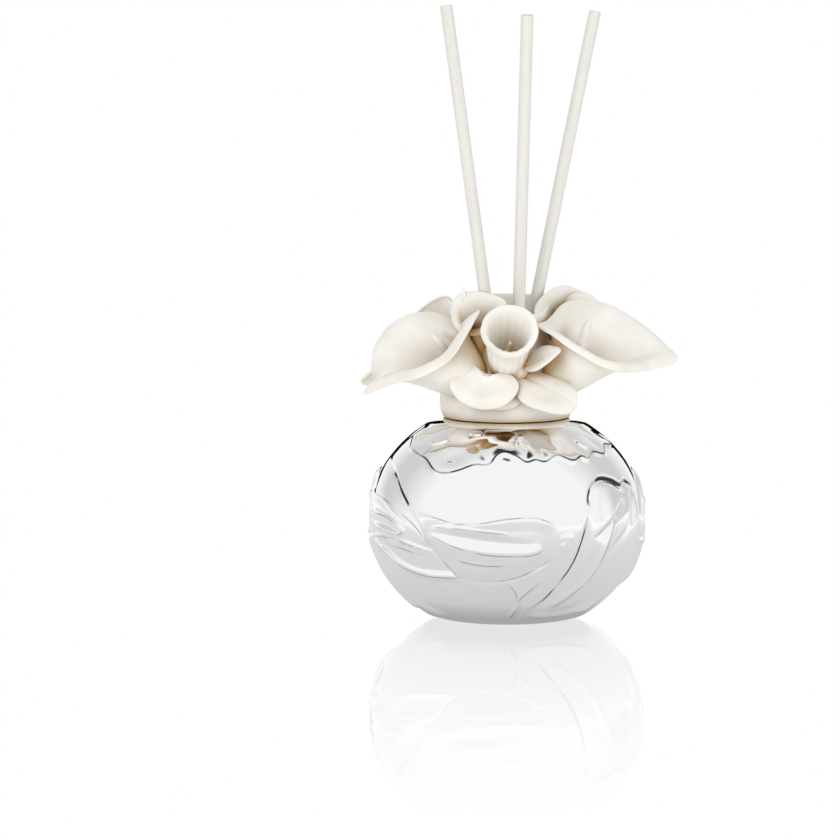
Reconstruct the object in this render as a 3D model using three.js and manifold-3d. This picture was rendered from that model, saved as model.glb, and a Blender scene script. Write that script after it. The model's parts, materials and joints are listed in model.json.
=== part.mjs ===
// A porcelain reed diffuser: a silvered pot with an upright neck, a bisque stopper dressed
// with hand-formed calla lilies and two narcissi, a silicone seal ring and three reeds.
//
// Units are millimetres. +Z is up, +X is to the right of the front, and -Y is the front.
// The origin is the middle of the pot's flat foot.
import * as THREE from "three";
import { mergeVertices } from "three/addons/utils/BufferGeometryUtils.js";
import Module from "manifold-3d";

const wasm = await Module();
wasm.setup();

// ---------------------------------------------------------------- driving dimensions
const GAP = 0.3; // between pieces that are luted or rest together

const POT = {
  widest: 45.4, // outer radius of the belly
  middle: 33.0, // height of the belly's widest place
  halfHeight: 39.0, // of the ellipsoid that the belly follows
  foot: 17.5, // radius of the flat foot
  shoulder: 66.2, // height where the belly meets the neck
  wall: 3.0,
  floor: 3.4,
  segments: 48,
};
const NECK = { outer: 17.6, bore: 15.0, top: 74.2, inside: 62.6 };
const STOPPER = {
  seat: POT.shoulder + GAP, // underside of the skirt
  skirtFoot: 20.8,
  skirtWidest: 22.1,
  skirtWidestHeight: 71.4,
  skirtInside: 18.1,
  roof: NECK.top + 0.4, // underside of the roof over the neck
  plug: 14.2,
  plugBottom: 58.0,
  plugBore: 10.8,
  rim: 106.0,
  rimOuter: 13.9,
  rimBore: 12.4,
  segments: 40,
};
const RING = { height: 61.2, radius: 14.05, section: 0.7, groove: 12.9, grooveHalf: 1.05 };
const REED = { diameter: 4.0, length: 200.0, sides: 18, standsAt: POT.floor + 0.9 };
const PETAL = { thickness: 1.7, across: 14, along: 10 };

// ---------------------------------------------------------------- materials
const silvered = new THREE.MeshStandardMaterial({ color: 0xe9e9ea, roughness: 0.04, metalness: 1 });
const bisque = new THREE.MeshStandardMaterial({ color: 0xf1eadb, roughness: 0.62, metalness: 0 });
const silicone = new THREE.MeshStandardMaterial({ color: 0xe4e2dc, roughness: 0.5, metalness: 0 });
const fibre = new THREE.MeshStandardMaterial({ color: 0xefeee8, roughness: 0.85, metalness: 0 });

// ---------------------------------------------------------------- helpers
const vec = (p) => new THREE.Vector3(...p);
const pt = (r, z) => new THREE.Vector2(r, z);

/** A part of revolution about Z. The profile runs up the outside and down the inside. */
function turned(profile, segments) {
  return new THREE.LatheGeometry(profile, segments).rotateX(Math.PI / 2);
}

/** A closed geometry as a solid that can be joined and cut, with its faces pointing outwards. */
function solidOf(geometry) {
  const bare = new THREE.BufferGeometry().setAttribute("position", geometry.getAttribute("position"));
  if (geometry.index) bare.setIndex(geometry.index);
  const merged = mergeVertices(bare, 1e-3);
  const mesh = (triVerts) =>
    new wasm.Mesh({ numProp: 3, vertProperties: merged.attributes.position.array, triVerts });
  const triVerts = new Uint32Array(merged.index.array);
  const solid = new wasm.Manifold(mesh(triVerts));
  return solid.volume() > 0 ? solid : new wasm.Manifold(mesh(triVerts.reverse()));
}

/** A solid as a geometry. */
function geometryOf(solid) {
  const { vertProperties, triVerts } = solid.getMesh();
  const geometry = new THREE.BufferGeometry();
  geometry.setAttribute("position", new THREE.BufferAttribute(vertProperties, 3));
  geometry.setIndex(new THREE.BufferAttribute(triVerts, 1));
  geometry.computeVertexNormals();
  return geometry;
}

/** What one solid leaves of another: the largest body, so that a cut leaves one piece. */
function cutBack(solid, other) {
  const bodies = solid.subtract(other).decompose();
  return bodies.sort((a, b) => b.volume() - a.volume())[0].asOriginal();
}

/** A named mesh. */
function piece(name, geometry, material) {
  const mesh = new THREE.Mesh(geometry, material);
  mesh.name = name;
  return mesh;
}

// ---------------------------------------------------------------- pot
/** Radius of the belly at a height, pulled in by the wall's thickness. */
function bellyRadius(z, inset = 0) {
  const along = (z - POT.middle) / (POT.halfHeight - inset);
  return (POT.widest - inset) * Math.sqrt(Math.max(0, 1 - along * along));
}

function pot() {
  const outside = [];
  const inside = [];
  const rows = 12;
  const lowest = 1.6; // the belly's own curve starts here, above the rounded edge of the foot
  for (let i = 0; i <= rows; i++) {
    const z = lowest + ((POT.shoulder - 1.2 - lowest) * i) / rows;
    outside.push(pt(bellyRadius(z), z));
  }
  const cavityLow = POT.floor + 1.6;
  for (let i = rows - 2; i >= 0; i--) {
    const z = cavityLow + ((NECK.inside - 1.4 - cavityLow) * i) / (rows - 2);
    inside.push(pt(bellyRadius(z, POT.wall), z));
  }
  const profile = [
    pt(0, 0),
    pt(POT.foot, 0),
    pt(POT.foot + 4.2, 0.5),
    ...outside,
    pt(STOPPER.skirtFoot + 0.6, POT.shoulder),
    pt(NECK.outer + 0.3, POT.shoulder + 0.1),
    pt(NECK.outer, POT.shoulder + 0.6),
    pt(NECK.outer, NECK.top - 0.6),
    pt(NECK.outer - 0.6, NECK.top),
    pt(NECK.bore + 0.6, NECK.top),
    pt(NECK.bore, NECK.top - 0.6),
    pt(NECK.bore, NECK.inside + 0.4),
    pt(NECK.bore + 0.8, NECK.inside),
    ...inside,
    pt(POT.foot, POT.floor),
    pt(0, POT.floor),
  ];
  return turned(profile, POT.segments);
}

// ---------------------------------------------------------------- stopper body
/** The outside of the stopper above its seat, from the skirt to the rim, grown outwards. */
function stopperOutside(grow) {
  const s = STOPPER;
  return [
    pt(s.skirtFoot + grow, s.seat),
    pt(s.skirtFoot + 0.8 + grow, s.seat + 1.4),
    pt(s.skirtWidest + grow, s.skirtWidestHeight),
    pt(s.skirtWidest - 0.3 + grow, s.skirtWidestHeight + 2.4),
    pt(s.skirtWidest - 1.4 + grow, s.skirtWidestHeight + 4.4),
    pt(18.6 + grow, 78.6),
    pt(16.4 + grow, 83.0),
    pt(15.0 + grow, 90.0),
    pt(14.3 + grow, 98.0),
    pt(s.rimOuter + grow, s.rim - 0.6),
    pt(s.rimOuter - 0.4, s.rim + grow),
  ];
}

function stopperBody() {
  const s = STOPPER;
  return turned(
    [
      pt(s.plugBore, s.plugBottom),
      pt(s.plug - 0.9, s.plugBottom),
      pt(s.plug, s.plugBottom + 1.2),
      pt(s.plug, RING.height - RING.grooveHalf),
      pt(RING.groove, RING.height - RING.grooveHalf),
      pt(RING.groove, RING.height + RING.grooveHalf),
      pt(s.plug, RING.height + RING.grooveHalf),
      pt(s.plug, s.roof),
      pt(s.skirtInside, s.roof),
      pt(s.skirtInside, s.seat),
      ...stopperOutside(0),
      pt(s.rimBore + 0.4, s.rim),
      pt(s.rimBore, s.rim - 0.6),
      pt(s.plugBore, s.roof + 4),
      pt(s.plugBore, s.plugBottom),
    ],
    s.segments,
  );
}

/** A plain core that every flower is cut back from: the stopper, grown by the gap, with no bore. */
function stopperCore() {
  return solidOf(
    turned([pt(0, STOPPER.seat), ...stopperOutside(GAP), pt(0, STOPPER.rim + GAP)], STOPPER.segments),
  );
}

function sealRing() {
  const section = new THREE.Path().absarc(RING.radius, RING.height, RING.section, -Math.PI, Math.PI, false);
  return turned(section.getPoints(5), STOPPER.segments);
}

// ---------------------------------------------------------------- reeds
// Each reed is a straight line: its place on the plane of the stopper's rim, and how far it
// moves sideways for each millimetre that it goes up.
const REEDS = {
  reed_left: { atRim: [-7.1, -7.3], lean: [-0.137, -0.02] },
  reed_centre: { atRim: [3.8, -9.0], lean: [0.021, -0.14] },
  reed_right: { atRim: [10.0, 2.0], lean: [0.2, 0.0] },
};

function reed({ atRim, lean }) {
  const rod = new THREE.CylinderGeometry(REED.diameter / 2, REED.diameter / 2, REED.length, REED.sides);
  const direction = new THREE.Vector3(lean[0], lean[1], 1).normalize();
  const down = REED.standsAt - STOPPER.rim;
  const foot = new THREE.Vector3(atRim[0] + lean[0] * down, atRim[1] + lean[1] * down, REED.standsAt);
  const middle = foot.addScaledVector(direction, REED.length / 2);
  return rod
    .applyQuaternion(new THREE.Quaternion().setFromUnitVectors(new THREE.Vector3(0, 1, 0), direction))
    .translate(middle.x, middle.y, middle.z);
}

// ---------------------------------------------------------------- flowers
/**
 * A horn-shaped petal: a tube that leaves its root ring along `rising` and opens to a free rim.
 * The rim is a closed curve through points. `roll` is how far the wall rises past the rim
 * before it turns down to it, towards `facing`.
 */
function horn({ rim, root, rising, facing, roll, tube = 3.4, flare = 6 }, grow = 0) {
  const points = rim.map(vec);
  const around = points.length * 2;
  const edge = new THREE.CatmullRomCurve3(points, true, "centripetal").getPoints(around).slice(0, around);
  const centre = edge.reduce((sum, p) => sum.add(p), new THREE.Vector3()).divideScalar(around);
  const up = vec(rising).normalize();
  const out = vec(facing).normalize();
  const start = vec(root);
  const reach = centre.distanceTo(start) * 0.55;

  const rows = 7;
  const wall = [];
  for (const p of edge) {
    const away = p.clone().sub(centre);
    const side = away.clone().addScaledVector(up, -away.dot(up)).setLength(tube);
    away.normalize();
    const ribs = new THREE.CubicBezierCurve3(
      start.clone().add(side),
      start.clone().add(side).addScaledVector(up, reach),
      p.clone().addScaledVector(out, roll).addScaledVector(away, -flare),
      p.clone(),
    );
    wall.push(ribs.getPoints(rows));
  }
  const normalAt = (i, j) => {
    const next = wall[(i + 1) % around][j].clone().sub(wall[(i + around - 1) % around][j]);
    const along = wall[i][Math.min(rows, j + 1)].clone().sub(wall[i][Math.max(0, j - 1)]);
    return next.cross(along).normalize();
  };
  const half = PETAL.thickness / 2 + grow;
  const facesOut = normalAt(0, 1).dot(wall[0][1].clone().sub(start).addScaledVector(up, -reach * 0.3)) > 0 ? 1 : -1;
  const offset = (i, j, d) => wall[i][j].clone().addScaledVector(normalAt(i, j), d * facesOut);

  const cavityRow = 2; // the horn is solid below this row
  const rings = 2 + (rows + 1) + (rows - cavityRow + 1);
  const shell = new THREE.LatheGeometry(Array(rings).fill(pt(1, 0)), around);
  const position = shell.getAttribute("position");
  const bottom = start.clone().addScaledVector(up, -grow);
  const pit = wall.reduce((sum, column) => sum.add(column[cavityRow]), new THREE.Vector3());
  pit.divideScalar(around).addScaledVector(up, grow);
  for (let k = 0; k <= around; k++) {
    const i = k % around;
    const column = [bottom];
    for (let j = 0; j <= rows; j++) column.push(offset(i, j, half));
    for (let j = rows; j >= cavityRow; j--) column.push(offset(i, j, -half));
    column.push(pit);
    column.forEach((p, j) => position.setXYZ(k * rings + j, p.x, p.y, p.z));
  }
  return solidOf(shell);
}

/** A flat petal: an oval leaf that is cupped across and droops along its length. */
function petal({ root, along, facing, length, width, cup, droop }, grow = 0) {
  const leaf = new THREE.SphereGeometry(1, PETAL.across, PETAL.along);
  const y = vec(along).normalize();
  const z = vec(facing).normalize();
  const x = new THREE.Vector3().crossVectors(y, z).normalize();
  z.crossVectors(x, y);
  const position = leaf.getAttribute("position");
  const start = vec(root);
  for (let i = 0; i < position.count; i++) {
    const across = position.getX(i);
    const run = (position.getY(i) + 1) / 2;
    const lift = cup * across * across - droop * run * run;
    const p = start
      .clone()
      .addScaledVector(x, across * (width / 2 + grow))
      .addScaledVector(y, run * length + (run * 2 - 1) * grow)
      .addScaledVector(z, lift + position.getZ(i) * (PETAL.thickness / 2 + grow));
    position.setXYZ(i, p.x, p.y, p.z);
  }
  return solidOf(leaf);
}

/** A finger that stands in a flower: a spadix or a pistil, with a rounded tip. */
function finger({ root, along, length, radius }, grow = 0) {
  const r = radius + grow;
  const profile = [pt(0, -grow), pt(r * 0.8, 0), pt(r, length * 0.3), pt(r * 0.85, length * 0.7)];
  profile.push(pt(r * 0.5, length * 0.93), pt(0, length + grow));
  const stick = new THREE.LatheGeometry(profile, 9);
  const turn = new THREE.Quaternion().setFromUnitVectors(new THREE.Vector3(0, 1, 0), vec(along).normalize());
  return solidOf(stick.applyQuaternion(turn).translate(...root));
}

/** A round rim for a trumpet: points on a circle about an axis, gently waved. */
function roundRim({ centre, facing, radius, wave, lobes }) {
  const z = vec(facing).normalize();
  const x = new THREE.Vector3(1, 0, 0).addScaledVector(z, -z.x).normalize();
  const y = new THREE.Vector3().crossVectors(z, x);
  const count = 12;
  return Array.from({ length: count }, (_, i) => {
    const angle = (2 * Math.PI * i) / count;
    const p = vec(centre);
    p.addScaledVector(x, radius * Math.cos(angle)).addScaledVector(y, radius * Math.sin(angle));
    return p.addScaledVector(z, wave * Math.sin(lobes * angle)).toArray();
  });
}

// Each calla is its rim, from the seam along the near lip to the tip and back, and its root.
const CALLAS = {
  calla_left: {
    rim: [
      [-9.4, -19, 102.7], [-14, -24, 95], [-18.3, -27, 88.6], [-23.6, -27, 84.7], [-30.2, -24, 81.3],
      [-36.8, -19, 80.1], [-46.4, -12, 75], [-44.4, -7, 83.1], [-42, -3, 90], [-37.5, 0, 95.6],
      [-30.9, 2, 99], [-23.6, 2, 100], [-19, -1, 98.4], [-14.5, -8, 97.5],
    ],
    root: [-13.5, -9.5, 77],
    rising: [-0.66, -0.42, 0.62],
    facing: [-0.57, -0.49, 0.66],
    roll: 5.5,
    tube: 6,
    spadix: { root: [-19, -12, 81], along: [-0.35, -0.35, 0.87], length: 13, radius: 1.5 },
  },
  calla_right: {
    rim: [
      [10.7, -19, 97.7], [14.7, -23, 95.5], [19.3, -26, 92.5], [24.6, -28, 88.8], [29.2, -28, 86.1],
      [35.1, -26, 84.2], [42.4, -21, 84], [49, -15, 84.2], [55.3, -10, 85.8], [51.3, -6, 90.6],
      [45, -2, 96.2], [38.1, 2, 100.7], [31.2, 4, 103.5], [24.3, 3, 104.4], [18.3, -1, 103.4],
      [14.7, -7, 100],
    ],
    root: [16, -9, 77.5],
    rising: [0.7, -0.42, 0.57],
    facing: [0.33, -0.46, 0.82],
    roll: 5.5,
    tube: 5.5,
    spadix: { root: [22, -11, 83], along: [0.28, -0.3, 0.9], length: 16, radius: 1.6 },
  },
  calla_upper_left: {
    rim: [
      [-1.5, -17.5, 105.4], [-5, -15.5, 107], [-10.4, -12, 107.8], [-15.2, -7.2, 109.4], [-18.2, -6.5, 104],
      [-18.5, -9, 101], [-15.5, -14, 99.4], [-8.5, -19.5, 101],
    ],
    root: [-9, -13.5, 84],
    rising: [-0.2, -0.15, 0.95],
    facing: [-0.3, -0.55, 0.8],
    roll: 1.5,
    tube: 2.6,
    flare: 2.5,
    spadix: { root: [-11, -13.6, 92], along: [-0.15, -0.02, 1], length: 9, radius: 1.1 },
  },
  calla_rear_left: {
    rim: [
      [-17.5, 3, 103.5], [-19.6, 5, 106.6], [-25.6, 7, 103.1], [-30.2, 8, 98.7], [-38, 10, 90],
      [-47.2, 12, 77], [-43, 21, 81], [-35, 28, 85], [-26, 31, 90], [-18, 29, 95],
      [-13, 23, 99.5], [-13.5, 14, 103],
    ],
    root: [-13, 10, 75.5],
    rising: [-0.6, 0.45, 0.66],
    facing: [-0.5, 0.5, 0.7],
    roll: 4.5,
    spadix: { root: [-20, 14, 83], along: [-0.3, 0.3, 0.9], length: 14, radius: 1.5 },
  },
  calla_rear_right: {
    rim: [
      [10.4, -9, 97.3], [13.4, -2, 103.8], [16.3, 4, 106.5], [19.3, 9, 107.9], [22.3, 12, 107.6],
      [26.2, 15, 105.6], [30.2, 18, 102.9], [38, 22, 95.5], [33, 13, 94], [27, 8.5, 93],
      [20.5, 4, 93], [14.5, -2, 94],
    ],
    root: [17, 8, 78],
    rising: [0.25, 0.05, 0.95],
    facing: [0.1, -0.4, 0.9],
    roll: 2.5,
    tube: 2.8,
    flare: 3,
    spadix: { root: [19, 7.5, 87], along: [0.15, 0.1, 1], length: 11, radius: 1.2 },
  },
  calla_back_right: {
    rim: [
      [8.5, 25, 97], [12, 31, 92], [17, 35, 87.5], [23, 36.5, 84], [30, 35, 82],
      [38, 31, 82], [47, 24, 84], [43, 22, 86.5], [38, 21.5, 88], [32, 22, 89],
      [25, 22, 91], [18, 21.5, 94], [12, 21.5, 96],
    ],
    root: [11, 15, 75.5],
    rising: [0.45, 0.65, 0.6],
    facing: [0.25, 0.55, 0.8],
    roll: 4,
    spadix: { root: [16.5, 22, 80], along: [0.2, 0.2, 0.95], length: 12, radius: 1.4 },
  },
};

const TRUMPETS = {
  narcissus_front_trumpet: {
    centre: [0.5, -28, 97.2],
    facing: [0, -0.91, 0.41],
    radius: 9.3,
    wave: 0.5,
    lobes: 3,
    root: [0.8, -16.2, 88],
    rising: [0, -0.8, 0.6],
    pistil: { root: [0.6, -18.6, 90.6], along: [0, -0.85, 0.5], length: 5.5, radius: 0.9 },
  },
  narcissus_back_trumpet: {
    centre: [-1.5, 28, 93.5],
    facing: [-0.05, 0.86, 0.5],
    radius: 8.4,
    wave: 0.6,
    lobes: 3,
    root: [-0.8, 16.6, 85],
    rising: [0, 0.8, 0.6],
    pistil: { root: [-0.9, 19, 87.6], along: [-0.05, 0.82, 0.56], length: 5.5, radius: 0.9 },
  },
};

const PETALS = {
  petal_front_left: {
    root: [-6.5, -16.5, 80.6], along: [-0.12, -0.86, -0.3], facing: [-0.05, -0.3, 0.95],
    length: 14.5, width: 21, cup: 1.2, droop: 1.8,
  },
  petal_front_right: {
    root: [6.5, -17, 81], along: [0.62, -0.58, -0.36], facing: [0.1, -0.5, 0.85],
    length: 19, width: 16, cup: 0.8, droop: 2.2,
  },
  petal_front_upper: {
    root: [7.4, -19, 86.6], along: [0.72, -0.5, 0.42], facing: [-0.25, -0.75, 0.6],
    length: 12.5, width: 7.5, cup: 1.2, droop: 0.8,
  },
  petal_front_low: {
    root: [-3.5, -21.3, 79.5], along: [0, -0.4, -0.9], facing: [0, -0.9, 0.4],
    length: 8.5, width: 10.5, cup: -1.4, droop: 0,
  },
  petal_back_left: {
    root: [-7, 17, 80], along: [-0.45, 0.8, -0.28], facing: [-0.1, 0.35, 0.92],
    length: 16, width: 15, cup: 1.0, droop: 2.0,
  },
  petal_back_right: {
    root: [5, 17.5, 79.6], along: [0.3, 0.86, -0.34], facing: [0.05, 0.35, 0.92],
    length: 14.5, width: 15, cup: 1.0, droop: 2.0,
  },
  petal_back_upper_left: {
    root: [-8, 17, 86], along: [-0.7, 0.55, 0.42], facing: [0.2, 0.8, 0.55],
    length: 11.5, width: 9, cup: 1.2, droop: 0.9,
  },
  petal_back_upper_right: {
    root: [6.5, 18, 86], along: [0.6, 0.62, 0.35], facing: [-0.2, 0.8, 0.55],
    length: 10, width: 9, cup: 1.2, droop: 0.9,
  },
};

/** The flowers, each cut back from the stopper and from the pieces made before it. */
function flowers() {
  const bunch = new THREE.Group();
  const taken = [stopperCore()];
  const add = (name, make, shape) => {
    const body = taken.reduce(cutBack, make(shape));
    bunch.add(piece(name, geometryOf(body), bisque));
    taken.push(make(shape, GAP), body);
  };
  for (const [name, { root, rising, pistil, ...round }] of Object.entries(TRUMPETS)) {
    add(name, horn, { rim: roundRim(round), root, rising, facing: round.facing, roll: 1.6, tube: 2.6, flare: 3 });
    add(name.replace("trumpet", "pistil"), finger, pistil);
  }
  for (const [name, { spadix, ...calla }] of Object.entries(CALLAS)) {
    add(`${name}_spathe`, horn, calla);
    add(`${name}_spadix`, finger, spadix);
  }
  for (const [name, shape] of Object.entries(PETALS)) add(name, petal, shape);
  return bunch;
}

// ---------------------------------------------------------------- assembly
const diffuser = new THREE.Group();
diffuser.add(
  piece("pot", pot(), silvered),
  piece("stopper_body", stopperBody(), bisque),
  piece("seal_ring", sealRing(), silicone),
  flowers(),
);
for (const [name, line] of Object.entries(REEDS)) diffuser.add(piece(name, reed(line), fibre));

export default diffuser;
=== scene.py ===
"""Looks of a porcelain reed diffuser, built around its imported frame.

A silvered pot with moulded lilies on its belly, a bisque stopper dressed in hand-formed
flowers, a silicone seal ring and three fibre reeds. Sizes are in millimetres in the classes
and become metres in the meshes. +Z is up and -Y is the front.
"""

import json
import logging
import math
from dataclasses import dataclass
from functools import cache
from typing import Callable, Optional, Sequence

import bmesh
import bpy
import numpy as np
from mathutils import Matrix, Vector, noise

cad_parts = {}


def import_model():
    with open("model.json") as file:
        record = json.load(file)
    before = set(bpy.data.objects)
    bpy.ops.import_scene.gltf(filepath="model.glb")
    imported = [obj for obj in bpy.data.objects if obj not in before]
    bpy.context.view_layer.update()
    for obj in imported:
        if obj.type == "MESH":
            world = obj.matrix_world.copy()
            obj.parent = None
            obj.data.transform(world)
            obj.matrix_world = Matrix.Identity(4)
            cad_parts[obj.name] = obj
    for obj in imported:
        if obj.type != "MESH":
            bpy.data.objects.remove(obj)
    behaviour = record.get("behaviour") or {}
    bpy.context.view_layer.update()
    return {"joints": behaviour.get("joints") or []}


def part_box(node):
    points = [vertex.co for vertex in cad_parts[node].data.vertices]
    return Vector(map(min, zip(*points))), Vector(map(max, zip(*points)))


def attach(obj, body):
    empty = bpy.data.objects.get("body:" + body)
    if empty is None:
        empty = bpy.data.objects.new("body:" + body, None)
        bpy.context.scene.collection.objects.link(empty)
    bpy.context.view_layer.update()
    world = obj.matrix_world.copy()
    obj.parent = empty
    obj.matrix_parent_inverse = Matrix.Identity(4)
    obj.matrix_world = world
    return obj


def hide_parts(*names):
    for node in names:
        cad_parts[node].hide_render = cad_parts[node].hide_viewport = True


MM = 0.001
WANDER_SEED = 7
log = logging.getLogger("diffuser")

Point = tuple[float, float, float]
Spot = tuple[float, float]
Tree = bpy.types.NodeTree
Socket = bpy.types.NodeSocket


# ------------------------------------------------------------------ small helpers
def linear(hex_colour: str) -> tuple[float, float, float, float]:
    """Turns an sRGB hex colour into linear RGBA.

    Args:
        hex_colour: Six hex digits, such as "F1EADB".

    Returns:
        Red, green, blue and an alpha of 1.
    """
    parts = [int(hex_colour[i : i + 2], 16) / 255 for i in (0, 2, 4)]
    red, green, blue = [c / 12.92 if c <= 0.04045 else ((c + 0.055) / 1.055) ** 2.4 for c in parts]
    return (red, green, blue, 1.0)


def smoothstep(low: float, high: float, x: np.ndarray) -> np.ndarray:
    """Fades from 0 at low to 1 at high with no corner at either end.

    Args:
        low: Where the fade starts.
        high: Where it ends.
        x: Values to fade.

    Returns:
        The faded values.
    """
    t = np.clip((x - low) / (high - low), 0.0, 1.0)
    return t * t * (3 - 2 * t)


def catmull(points: Sequence[Sequence[float]], count: int, closed: bool) -> np.ndarray:
    """Draws a smooth curve through points.

    Args:
        points: The points, in order.
        count: How many samples to return.
        closed: Whether the last point joins the first.

    Returns:
        An array of samples, evenly spaced by point number.
    """
    knots = np.array(points, float)
    size = len(knots)
    spans = size if closed else size - 1
    samples = []
    for t in np.linspace(0, spans, count, endpoint=not closed):
        i = min(int(t), spans - 1)
        f = t - i
        if closed:
            a, b, c, d = (knots[(i + k) % size] for k in (-1, 0, 1, 2))
        else:
            a, b, c, d = (knots[min(max(i + k, 0), size - 1)] for k in (-1, 0, 1, 2))
        pull = -a + 3 * b - 3 * c + d
        samples.append(b + 0.5 * f * (c - a + f * (2 * a - 5 * b + 4 * c - d + f * pull)))
    return np.array(samples)


def unit(vector: Sequence[float]) -> Vector:
    """Gives a vector's direction."""
    return Vector(vector).normalized()


def in_scene(name: str, shape: bmesh.types.BMesh, material: bpy.types.Material) -> bpy.types.Object:
    """Turns a bmesh into an object at the origin of the scene.

    Args:
        name: The object's name.
        shape: The shape in metres; it is freed.
        material: Its material.

    Returns:
        The new object.
    """
    data = bpy.data.meshes.new(name)
    shape.to_mesh(data)
    shape.free()
    data.materials.append(material)
    made = bpy.data.objects.new(name, data)
    bpy.context.scene.collection.objects.link(made)
    return made


def finished(name: str, shape: bmesh.types.BMesh, finish: "Finish") -> bpy.types.Object:
    """Turns a bmesh in millimetres into a smooth object, with its finish.

    Args:
        name: The object's name.
        shape: The shape; it is freed.
        finish: The finish to dress it in.

    Returns:
        The new object.
    """
    bmesh.ops.scale(shape, vec=(MM,) * 3, verts=shape.verts)
    bmesh.ops.recalc_face_normals(shape, faces=shape.faces)
    made = in_scene(name, shape, finish.material())
    made.data.shade_smooth()
    return made


def turned_to(direction: Sequence[float], place: Sequence[float]) -> Matrix:
    """Gives the matrix that stands a shape along a direction, at a place."""
    turn = Vector((0, 0, 1)).rotation_difference(unit(direction)).to_matrix().to_4x4()
    return Matrix.Translation(place) @ turn


def thickened(piece: bpy.types.Object, thickness: float, thinnest: float, levels: int) -> None:
    """Gives a sheet its wall, drawn out thin at its edge, and smooths it with live modifiers.

    Args:
        piece: The sheet, whose vertices carry how full their wall is.
        thickness: Wall thickness in millimetres.
        thinnest: The edge's thickness as a part of the wall's.
        levels: Subdivision levels.
    """
    wall = piece.modifiers.new("wall", "SOLIDIFY")
    wall.thickness = thickness * MM
    wall.offset = 0.0
    wall.vertex_group = piece.vertex_groups.new(name="wall").name
    wall.thickness_vertex_group = thinnest
    rounding = piece.modifiers.new("rounding", "SUBSURF")
    rounding.levels = rounding.render_levels = levels


def belongs(piece: bpy.types.Object, body: str, slot: str, *nodes: str) -> bpy.types.Object:
    """Puts a piece on its body and says which nodes it stands for.

    Args:
        piece: The piece.
        body: The CAD body that it rides on.
        slot: The record's material slot; not used.
        nodes: The CAD nodes that it replaces.

    Returns:
        The same piece.
    """
    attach(piece, body)
    if nodes:
        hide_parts(*nodes)
    log.info("%s rides on %s and stands for %s", piece.name, body, ", ".join(nodes) or "no node")
    return piece


def spun(profile: Sequence[Spot], steps: int) -> bmesh.types.BMesh:
    """Spins a closed or axis-to-axis profile about Z.

    Args:
        profile: Radius and height of each point, in millimetres.
        steps: How many steps make the full turn.

    Returns:
        The spun shape.
    """
    shape = bmesh.new()
    verts = [shape.verts.new((r, 0, z)) for r, z in profile]
    for a, b in zip(verts, verts[1:]):
        shape.edges.new((a, b))
    if profile[0][0] > 0 and profile[-1][0] > 0:
        shape.edges.new((verts[-1], verts[0]))
    bmesh.ops.spin(
        shape, geom=shape.verts[:] + shape.edges[:], cent=(0, 0, 0), axis=(0, 0, 1),
        angle=math.tau, steps=steps, use_merge=True,
    )
    bmesh.ops.remove_doubles(shape, verts=shape.verts, dist=1e-4)
    return shape


# ------------------------------------------------------------------ finishes
def add(
    tree: Tree, kind: str, settings: Optional[dict] = None, links: Optional[dict] = None
) -> bpy.types.Node:
    """Adds a node with its settings and links.

    Args:
        tree: The node tree.
        kind: The node's type name.
        settings: Attribute or input names to values.
        links: Input names or numbers to output sockets.

    Returns:
        The new node.
    """
    node = tree.nodes.new(kind)
    for key, value in (settings or {}).items():
        if isinstance(key, str) and hasattr(node, key):
            setattr(node, key, value)
        else:
            node.inputs[key].default_value = value
    for key, socket in (links or {}).items():
        tree.links.new(socket, node.inputs[key])
    return node


def ramp(tree: Tree, factor: Socket, stops: Sequence[tuple[float, str]]) -> Socket:
    """Adds a colour ramp.

    Args:
        tree: The node tree.
        factor: What drives it.
        stops: Position and sRGB hex colour of each stop.

    Returns:
        The ramp's colour output.
    """
    node = add(tree, "ShaderNodeValToRGB", links={"Fac": factor})
    elements = node.color_ramp.elements
    for index, (position, colour) in enumerate(stops):
        element = elements[index] if index < 2 else elements.new(position)
        element.position, element.color = position, linear(colour)
    return node.outputs["Color"]


def own_place(tree: Tree) -> Socket:
    """Adds a piece's own coordinates in metres."""
    return add(tree, "ShaderNodeTexCoord").outputs["Object"]


def speckle(tree: Tree, place: Socket, size_mm: float, detail: float) -> Socket:
    """Adds noise of a real size.

    Args:
        tree: The node tree.
        place: Coordinates in metres.
        size_mm: The size of its spots.
        detail: How many finer layers it has.

    Returns:
        The noise, from 0 to 1.
    """
    settings = {"Scale": 1 / (size_mm * MM), "Detail": detail}
    return add(tree, "ShaderNodeTexNoise", settings, {"Vector": place}).outputs["Fac"]


def bumped(tree: Tree, height: Socket, strength: float, depth_mm: float) -> Socket:
    """Adds a bump and gives its normal."""
    settings = {"Strength": strength, "Distance": depth_mm * MM}
    return add(tree, "ShaderNodeBump", settings, {"Height": height}).outputs["Normal"]


def ranged(tree: Tree, value: Socket, old: Spot, new: Spot, kind: str = "LINEAR") -> Socket:
    """Maps one range onto another.

    Args:
        tree: The node tree.
        value: The value to map.
        old: The range's ends.
        new: What they become.
        kind: The interpolation's name.

    Returns:
        The mapped value.
    """
    settings = {"interpolation_type": kind, "From Min": old[0], "From Max": old[1]}
    settings |= {"To Min": new[0], "To Max": new[1]}
    return add(tree, "ShaderNodeMapRange", settings, {"Value": value}).outputs["Result"]


def times(tree: Tree, one: Socket, other: Socket) -> Socket:
    """Multiplies two values."""
    return add(tree, "ShaderNodeMath", {"operation": "MULTIPLY"}, {0: one, 1: other}).outputs[0]


def new_material(name: str, surface: Callable[[Tree], Socket]) -> bpy.types.Material:
    """Makes a material.

    Args:
        name: The material's name.
        surface: Builds the nodes and gives the surface output.

    Returns:
        The material.
    """
    made = bpy.data.materials.new(name)
    made.use_nodes = True
    made.node_tree.nodes.clear()
    add(made.node_tree, "ShaderNodeOutputMaterial", links={"Surface": surface(made.node_tree)})
    return made


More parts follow.
